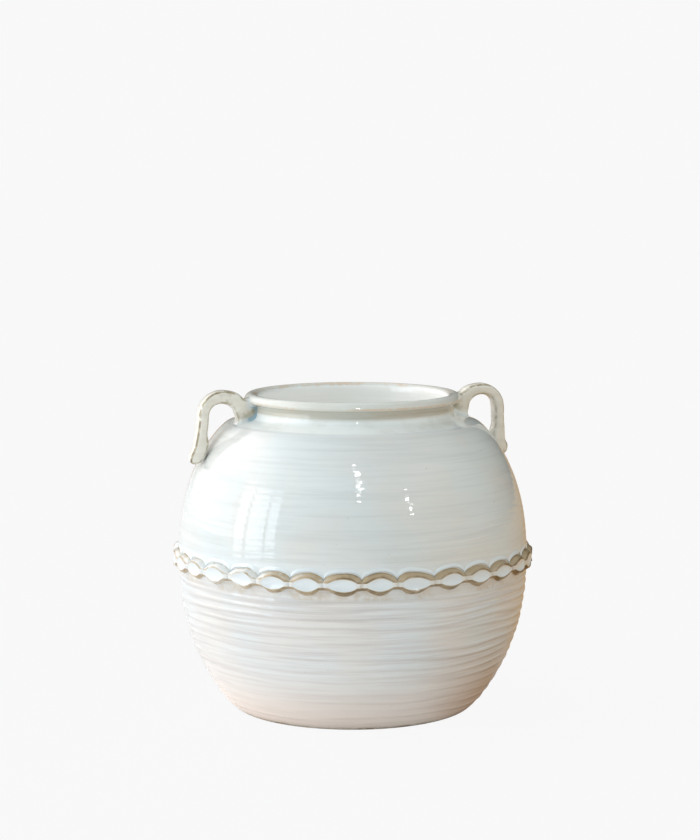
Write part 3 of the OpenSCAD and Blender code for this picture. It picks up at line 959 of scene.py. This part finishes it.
def strap_points(path, from_root, from_tip, seed, curl, arch_more, leg_more):
    """Rows of points, one row of SIDES points for each point of the path."""
    along = np.linspace(0, 1, len(path))
    step = np.gradient(path, axis=0)
    tangent = step / np.hypot(*step.T)[:, None]
    normal = np.column_stack([-tangent[:, 1], tangent[:, 0]])
    rng = np.random.default_rng(seed)

    def by_hand(amount, waves):
        """A factor near 1 that wanders along the strap."""
        knots = np.linspace(0, 1, waves)
        return 1 + amount * np.interp(along, knots, rng.uniform(-1, 1, waves))

    closing = np.sqrt(np.clip(1 - (1 - np.clip(from_tip / 3.4, 0, 1)) ** 2, 0.0, 1))
    wide = strap_w / 2 * by_hand(0.035, 9)
    wide = (wide * (1 + 0.22 * smooth((9 - from_root) / 9))
            * (1 - 0.12 * smooth((12 - from_tip) / 12)))
    outer = STRAP_T / 2 * by_hand(0.05, 11) * (1 + curl * np.exp(-((from_tip - 5.5) / 2.6) ** 2))
    # At the root the clay is pushed under the lip, and a little of it stays between lip and strap.
    outer = outer + 5.6 * smooth((17 - from_root) / 5) + 1.3 * smooth((26 - from_root) / 8)
    # The arch is thickest at its crown, and a wedge of clay fills the corner behind the tip.
    inner = STRAP_T / 2 * by_hand(0.05, 11) + 1.2 * smooth((7 - from_root) / 4)
    inner += (arch_more * np.exp(-((from_root - 25) / 14) ** 2)
              + leg_more * smooth((22 - from_tip) / 9) * smooth(from_tip / 8))
    push = np.where(across > 0, outer[:, None] * across, inner[:, None] * across)
    push = push * closing[:, None]
    x, z = (path[:, i:i + 1] + normal[:, i:i + 1] * push for i in (0, 1))
    y = wide[:, None] * aside * closing[:, None] ** 0.7
    # The finger that pressed the tip left a small dimple in it.
    dimple = np.exp(-((from_tip[:, None] - 3.2) / 1.9) ** 2 - (y / 2.6) ** 2) * (across > 0.3) * 0.7
    x, z = x - normal[:, :1] * dimple, z - normal[:, 1:] * dimple
    return np.stack([x, y, z], -1)


print("a section has", SIDES, "points")

# %% Thin glaze on a strap
def strap_thin(from_root, from_tip, root_thin):
    """The glaze breaks along the edges and thins on the two sides, at the root and at the tip."""
    edge = smooth((np.abs(across * aside) - 0.56) / 0.08) * np.where(across > 0, 0.85, 0.55)
    side = (smooth((np.abs(aside) - 0.75) / 0.2)
            * (0.09 + 0.3 * smooth((20 - from_root) / 10))[:, None])
    root = root_thin * smooth((38 - from_root) / 14)[:, None]
    return (np.maximum(np.maximum(edge[None], side), root)
            + 0.5 * smooth((2.5 - from_tip) / 2)[:, None])


# %% Strap sweep
def strap(name, seed, path, mirror, curl, arch_more, leg_more, root_thin, blue):
    """A strap handle in the XZ plane, on the +X side, or turned to the -X side."""
    count = len(path)
    length = np.hypot(*np.diff(path, axis=0).T).sum()
    along = np.linspace(0, 1, count)
    from_root, from_tip = along * length, (1 - along) * length
    points = strap_points(path, from_root, from_tip, seed, curl, arch_more, leg_more)
    middle = np.stack([path[:, 0], np.zeros(count), path[:, 1]], -1).repeat(SIDES, axis=0)
    points, gap, radius = onto_wall(points.reshape(-1, 3), middle)
    thin = strap_thin(from_root, from_tip, root_thin)
    pool = np.clip(1 - gap / 3.2, 0, 1)
    # Beside the neck the glaze ran together to a blue drop, below the lip of one strap.
    drop = (blue * smooth((neck_r + 8.5 - radius) / 3)
            * smooth((rim_h - 5.5 - points[:, 2]) / 2))
    if mirror:
        points[:, :2] *= -1
    faces = [(i * SIDES + k, i * SIDES + (k + 1) % SIDES, (i + 1) * SIDES + (k + 1) % SIDES,
              (i + 1) * SIDES + k) for i in range(count - 1) for k in range(SIDES)]
    faces += [tuple(range(SIDES - 1, -1, -1)), tuple(range((count - 1) * SIDES, count * SIDES))]
    mesh = bpy.data.meshes.new(name)
    mesh.from_pydata((points * MM).tolist(), [], faces)
    set_mark(mesh, "thin", thin.ravel() * (1 - pool))
    set_mark(mesh, "pool", np.maximum(pool, 2 * drop * np.clip(1.5 - gap / 3, 0, 1)))
    mesh.polygons.foreach_set("use_smooth", np.ones(len(mesh.polygons), bool))
    mesh.materials.append(handle_glaze)
    finish_mesh(mesh, name, sharp=60)
    return put(name, mesh)


# %% Two straps
tip_x = handle_high[0] - 3.7
left_strap = strap("left_strap", 11, strap_path(tip_x, 0.6, 3.0), mirror=True, curl=0.1,
                   arch_more=2.2, leg_more=2.6, root_thin=0.3, blue=1.0)
right_strap = strap("right_strap", 23, strap_path(tip_x - 0.2, 1.0, 0.0), mirror=False, curl=0.35,
                    arch_more=0.7, leg_more=2.2, root_thin=0.15, blue=0.1)

# %% [markdown]
# ## Fastening the pieces to the frame
# Each piece takes the place of its solid and rides on the one body of the jar.

# %% Ride and replace
for piece, node, slot in (
        (lower_half, "lower_body", "white_glaze"), (upper_half, "upper_body", "white_glaze"),
        (neck_ring, "neck_collar", "white_glaze"), (band, "pinched_band", "band_glaze"),
        (left_strap, "left_handle", "handle_glaze"),
        (right_strap, "right_handle", "handle_glaze")):
    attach(piece, "root")
    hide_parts(node)
print("six pieces ride on the jar's body")

# %% [markdown]
# ## Floor and background
# The photograph has a plain pale ground with hardly a shadow. A large floor runs out to the
# horizon, and the world behind it shows the same pale grey. To the camera the floor is mostly lit
# from within, as a lit table of white acrylic is, so that it stays even.
#
# What the jar itself sees is a white table, with a warm wooden board that begins at the jar's right
# and is deepest in colour close to it. The white gives the lower half its soft light, and the board
# gives it the warm reflection along its right side. Is Camera Ray tells the two looks apart.

# %% Directions, as seen from the camera's side
CAMERA_AZIMUTH = -16.0


def to_side(azimuth, elevation):
    """The direction at an angle from the camera's side of the jar, seen from above."""
    a, e = math.radians(CAMERA_AZIMUTH + azimuth), math.radians(elevation)
    return Vector((math.sin(a) * math.cos(e), -math.cos(a) * math.cos(e), math.sin(e)))


print("the camera's side is", [round(v, 2) for v in to_side(0, 0)])

# %% Stage
ground = bpy.data.materials.new("pale_lit_table")
ground.use_nodes = True
tree = ground.node_tree
tree.nodes.clear()
place = add(tree, "ShaderNodeTexCoord").outputs["Object"]
to_right = add(tree, "ShaderNodeVectorMath", {0: place, 1: to_side(108, 0)},
               operation="DOT_PRODUCT").outputs["Value"]
from_spot = add(tree, "ShaderNodeVectorMath", {0: place, 1: 0.16 * to_side(72, 0)},
                operation="DISTANCE").outputs["Value"]
cloth = linear("#fefdfd")
for value, start, end, wood in ((to_right, 0.03, 0.2, "#c8a476"),
                                (from_spot, 0.11, 0.05, "#c58e45")):
    share = add(tree, "ShaderNodeMapRange", {"Value": value, "From Min": start, "From Max": end})
    cloth = add(tree, "ShaderNodeMix", {0: share, 6: cloth, 7: linear(wood)},
                data_type="RGBA").outputs[2]
table_top = add(tree, "ShaderNodeBsdfDiffuse", {"Color": cloth})
lit_top = add(tree, "ShaderNodeBsdfPrincipled", {
    "Base Color": linear("#272727"), "Roughness": 0.9, "Specular IOR Level": 0.0,
    "Emission Color": linear("#ffffff"), "Emission Strength": 0.922})
which = add(tree, "ShaderNodeLightPath").outputs["Is Camera Ray"]
both = add(tree, "ShaderNodeMixShader", {0: which, 1: table_top, 2: lit_top})
add(tree, "ShaderNodeOutputMaterial", {"Surface": both})
REACH = 30
mesh = bpy.data.meshes.new("table")
mesh.from_pydata([(-REACH, -REACH, 0), (REACH, -REACH, 0), (REACH, REACH, 0), (-REACH, REACH, 0)],
                 [], [(0, 1, 2, 3)])
mesh.materials.append(ground)
table = put("table", mesh)
print("table of", 2 * REACH, "m with", len(tree.nodes), "nodes in its material")

# %% [markdown]
# ## The room
# A glossy pot shows the room that it stands in, so the room has to be right where the jar sees it.
# A picture of a room could be used, but a few soft patches of light are enough. Each one is centred
# on a direction and changes over a ramp of colours as a direction comes nearer to that. Some of
# them dim what is there, others add light.

# %% World
ROOM = (
    # Pale walls with daylight from high up all round, under a plain ceiling.
    ("MULTIPLY", 0, 90, 0.0, 1.0, [(0.26, 0.27, 0.24), (0.31, 0.31, 0.28), (1.33, 1.34, 1.35),
                                   (0.25, 0.25, 0.25)]),
    # A dim, warm corner behind the jar's right.
    ("MULTIPLY", 135, 10, 0.35, 0.9, [(1, 1, 1), (0.55, 0.53, 0.50), (0.16, 0.14, 0.12)]),
    # A darker stretch above the camera.
    ("MULTIPLY", 5, 45, 0.45, 1.0, [(1, 1, 1), (0.36, 0.45, 0.49)]),
    # The sunny wall beside the window, then the sky in the window's upper part.
    ("ADD", -108, 14, 0.45, 0.92, [(0, 0, 0), (0.20, 0.19, 0.19), (1.8, 1.67, 1.64)]),
    ("ADD", -52, 52, 0.76, 0.98, [(0, 0, 0), (0.25, 0.28, 0.30)]),
    # A soft fill from the right.
    ("ADD", 72, 22, 0.38, 0.96, [(0, 0, 0), (0.12, 0.13, 0.13), (0.64, 0.68, 0.69)]),
)
world = bpy.data.worlds.new("studio")
bpy.context.scene.world = world
world.use_nodes = True
tree = world.node_tree
tree.nodes.clear()
direction = add(tree, "ShaderNodeTexCoord").outputs["Generated"]
room = (1, 1, 1, 1)
for how, azimuth, elevation, start, end, colours in ROOM:
    towards = add(tree, "ShaderNodeVectorMath", {0: direction, 1: to_side(azimuth, elevation)},
                  operation="DOT_PRODUCT").outputs["Value"]
    share = add(tree, "ShaderNodeMapRange", {"Value": towards, "From Min": start, "From Max": end})
    patch = add(tree, "ShaderNodeValToRGB", {0: share})
    stops = patch.color_ramp.elements
    stops[0].color, stops[1].color = (*colours[0], 1), (*colours[-1], 1)
    for i, colour in enumerate(colours[1:-1], 1):
        stops.new(i / (len(colours) - 1)).color = (*colour, 1)
    room = add(tree, "ShaderNodeMix", {0: 1.0, 6: room, 7: patch}, data_type="RGBA",
               blend_type=how).outputs[2]
lit = add(tree, "ShaderNodeBackground", {"Color": room, "Strength": 1.0})
seen = add(tree, "ShaderNodeBackground", {"Color": (0.94, 0.94, 0.94, 1), "Strength": 1.0})
which = add(tree, "ShaderNodeLightPath").outputs["Is Camera Ray"]
both = add(tree, "ShaderNodeMixShader", {0: which, 1: lit, 2: seen})
add(tree, "ShaderNodeOutputWorld", {"Surface": both})
print("sunny wall towards", [round(v, 2) for v in to_side(-108, 14)])

# %% [markdown]
# ## Light
# A window with nine panes stands at the left. It lights the jar, and its panes show in the glaze.
# Eleven small bulbs above and beside the camera give the other glints. Each light is placed by its
# azimuth from the camera's side and its elevation, as seen from the jar, and the camera doesn't see
# it. A weak light inside the jar stands in for light that bounces about in there.

# %% Lights
AIM = Vector((0, 0, 0.13))


def light(name, azimuth, elevation, distance, width, height, radiance, colour=(1, 1, 1)):
    """A soft light of a given brightness, facing the jar."""
    data = bpy.data.lights.new(name, "AREA")
    data.shape = "RECTANGLE"
    data.size, data.size_y, data.color = width, height, colour
    data.energy = radiance * math.pi * width * height
    lamp = put(name, data)
    lamp.location = AIM + distance * to_side(azimuth, elevation)
    lamp.rotation_euler = (AIM - lamp.location).to_track_quat("-Z", "Y").to_euler()
    lamp.visible_camera = False


# Panes: azimuth and width of each column, elevation and height of each row.
for column, azimuth, width in (("near", -53.5, 0.17), ("middle", -65.2, 0.33),
                               ("far", -77.8, 0.195)):
    for row, elevation, height in (("low", -2.6, 0.075), ("tall", 11.6, 0.60),
                                   ("top", 25.9, 0.07)):
        light(f"window, {column} {row} pane", azimuth, elevation, 1.5, width, height, 3.5,
              (0.78, 0.90, 1.0))
# Bulbs: azimuth, elevation, width and height.
bulbs = (
    (1.0, 50.6, 0.040, 0.010), (4.2, 47.2, 0.070, 0.016), (6.2, 43.6, 0.080, 0.014),
    (4.2, 41.6, 0.050, 0.005), (4.2, 38.9, 0.045, 0.014), (4.2, 36.9, 0.045, 0.014),
    (4.4, 33.6, 0.060, 0.020), (38.8, 27.4, 0.050, 0.022), (40.2, 24.2, 0.035, 0.012),
    (40.0, 21.0, 0.045, 0.012), (40.0, 19.4, 0.045, 0.012))
for i, (azimuth, elevation, width, height) in enumerate(bulbs):
    light(f"bulb {i} above and beside camera", azimuth, elevation, 1.4, width, height, 50)
light("weak light inside the jar", -35, -25, 0.03, 0.08, 0.08, 1.2, (1.0, 0.98, 0.95))
print(len(bpy.data.lights), "lights")

# %% [markdown]
# ## Camera
# The camera's place comes from fitting ellipses to the photograph's lip, band and foot. It is a
# long lens, a little above the jar, with a slight downward tilt.

# %% Camera
LENS_MM, SENSOR_MM, TILT_DEGREES = 98.71, 36, 6.6
BACK, ASIDE, UP = 1.4585, -0.0017, 0.3518
camera_data = bpy.data.cameras.new("camera")
camera_data.lens, camera_data.sensor_width = LENS_MM, SENSOR_MM
camera_data.clip_end = 200
camera = put("camera", camera_data)
a = math.radians(CAMERA_AZIMUTH)
camera.location = (BACK * math.sin(a) + ASIDE * math.cos(a),
                   -BACK * math.cos(a) + ASIDE * math.sin(a), UP)
camera.rotation_euler = (math.radians(90 - TILT_DEGREES), 0, a)
bpy.context.scene.camera = camera
bpy.context.scene.view_settings.view_transform = "Standard"
bpy.context.scene.view_settings.look = "None"
print("camera at", [round(v, 3) for v in camera.location])
